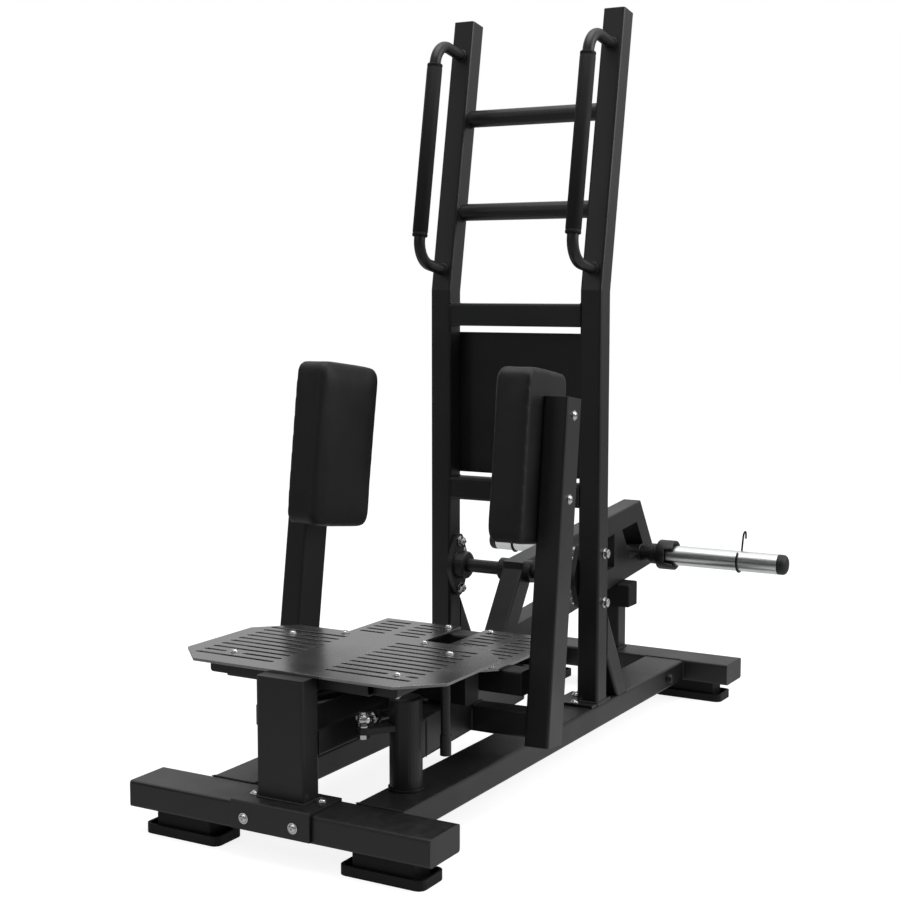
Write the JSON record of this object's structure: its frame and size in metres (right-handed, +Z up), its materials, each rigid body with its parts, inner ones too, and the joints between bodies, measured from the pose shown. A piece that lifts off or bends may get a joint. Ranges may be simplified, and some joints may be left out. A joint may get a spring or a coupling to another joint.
{
  "type": "standing hip abductor machine",
  "caption": "Plate-loaded standing hip abductor: slotted platform, swinging padded arms, push rods to a rocking lever with plate horns, and leaning uprights with gripped handles",
  "frame": {"origin": "bottom centre of the bounding box, on the floor", "axes": "+Z up; +Y from the front cross tube to the plate horns; +X to the right seen from behind the horns looking at the uprights; the user faces -Y"},
  "size_m": [0.83, 1.6664, 1.6041],
  "materials": {
    "black_coat": "satin black powder coat with a fine orange-peel surface",
    "platform_coat": "dark metallic satin coat on the slotted plates",
    "chrome": "bright plated sleeve, lightly scuffed round by plates",
    "machined_steel": "turned and ground steel, zinc plated",
    "black_cast": "black painted castings and horn caps",
    "rubber": "matte black moulded rubber",
    "pad_cover": "black upholstery vinyl with a fine grain over firm foam",
    "spring_wire": "dark oiled spring steel wire"
  },
  "bodies": {
    "frame": {"front_cross_tube": "black_coat", "rear_cross_tube": "black_coat", "front_bracket": "black_coat", "front_post": "black_coat", "spine": "black_coat", "rear_platform_post": "black_coat", "base_tie": "black_coat", "front_bearer": "black_coat", "bearer_front": "black_coat", "bearer_middle": "black_coat", "bearer_rear": "black_coat", "crossbar_lower": "black_coat", "crossbar_upper": "black_coat", "back_panel": "black_coat", "rung_lower": "black_coat", "rung_upper": "black_coat", "rear_post": "black_coat", "platform_plate": "platform_coat", "lever_stop": "rubber", "foot_front_left": "rubber", "foot_rear_left": "rubber", "grip_left": "rubber", "foot_plate_left": "platform_coat", "base_tube_left": "black_coat", "platform_rail_left": "black_coat", "upright_left": "black_coat", "brace_left": "black_coat", "handle_left": "black_coat", "stop_rod_left": "black_coat", "pivot_pin_left": "black_coat", "bearing_left": "black_cast", "foot_front_right": "rubber", "foot_rear_right": "rubber", "grip_right": "rubber", "foot_plate_right": "platform_coat", "base_tube_right": "black_coat", "platform_rail_right": "black_coat", "upright_right": "black_coat", "brace_right": "black_coat", "handle_right": "black_coat", "stop_rod_right": "black_coat", "pivot_pin_right": "black_coat", "bearing_right": "black_cast"},
    "lever": {"lever_frame": "black_coat", "lever_shaft": "black_coat", "link_pin": "machined_steel", "horn_left": "black_cast", "horn_right": "black_cast", "horn_sleeve_left": "chrome", "horn_sleeve_right": "chrome"},
    "right_arm": {"arm_right": "black_coat", "pad_right": "pad_cover"},
    "right_ball": {"ball_stud_right": "machined_steel"},
    "right_rod": {"push_rod_right": "machined_steel"},
    "right_clip": {"clip_right": "spring_wire"},
    "left_arm": {"arm_left": "black_coat", "pad_left": "pad_cover"},
    "left_ball": {"ball_stud_left": "machined_steel"},
    "left_rod": {"push_rod_left": "machined_steel"},
    "left_clip": {"clip_left": "spring_wire"}
  },
  "joints": [
    {"name": "right_arm_swing", "type": "hinge", "parent": "frame", "child": "right_arm", "pos_m": [0.145, -0.61185, 0.18], "axis": [0, 0, -1], "range_deg": [0, 32]},
    {"name": "left_arm_swing", "type": "hinge", "parent": "frame", "child": "left_arm", "pos_m": [-0.145, -0.61185, 0.18], "axis": [0, 0, 1], "range_deg": [0, 32]},
    {"name": "lever_rock", "type": "hinge", "parent": "frame", "child": "lever", "pos_m": [0, 0.10315, 0.377], "axis": [1, 0, 0], "range_deg": [0, 8.4]},
    {"name": "right_ball_turn", "type": "hinge", "parent": "right_arm", "child": "right_ball", "pos_m": [0.097, -0.67885, 0.236], "axis": [0, 0, 1], "range_deg": [0, 29.05]},
    {"name": "right_rod_tilt", "type": "hinge", "parent": "right_ball", "child": "right_rod", "pos_m": [0.097, -0.67885, 0.236], "axis": [0.9979, 0.0647, 0], "range_deg": [-1.78, 0]},
    {"name": "left_ball_turn", "type": "hinge", "parent": "left_arm", "child": "left_ball", "pos_m": [-0.097, -0.67885, 0.236], "axis": [0, 0, -1], "range_deg": [0, 29.05]},
    {"name": "left_rod_tilt", "type": "hinge", "parent": "left_ball", "child": "left_rod", "pos_m": [-0.097, -0.67885, 0.236], "axis": [0.9979, -0.0647, 0], "range_deg": [-1.78, 0]},
    {"name": "right_clip_slide", "type": "slide", "parent": "lever", "child": "right_clip", "axis": [1, 0, 0], "range_m": [-0.145, 0.09]},
    {"name": "left_clip_slide", "type": "slide", "parent": "lever", "child": "left_clip", "axis": [-1, 0, 0], "range_m": [-0.195, 0.04]}
  ],
  "couplings": [
    {"joint": "left_arm_swing", "follows": "right_arm_swing", "ratio": 1},
    {"joint": "lever_rock", "follows": "right_arm_swing", "ratio": 0.26247},
    {"joint": "right_ball_turn", "follows": "right_arm_swing", "ratio": 0.90773},
    {"joint": "right_rod_tilt", "follows": "right_arm_swing", "ratio": -0.0555},
    {"joint": "left_ball_turn", "follows": "right_arm_swing", "ratio": 0.90773},
    {"joint": "left_rod_tilt", "follows": "right_arm_swing", "ratio": -0.0555}
  ]
}
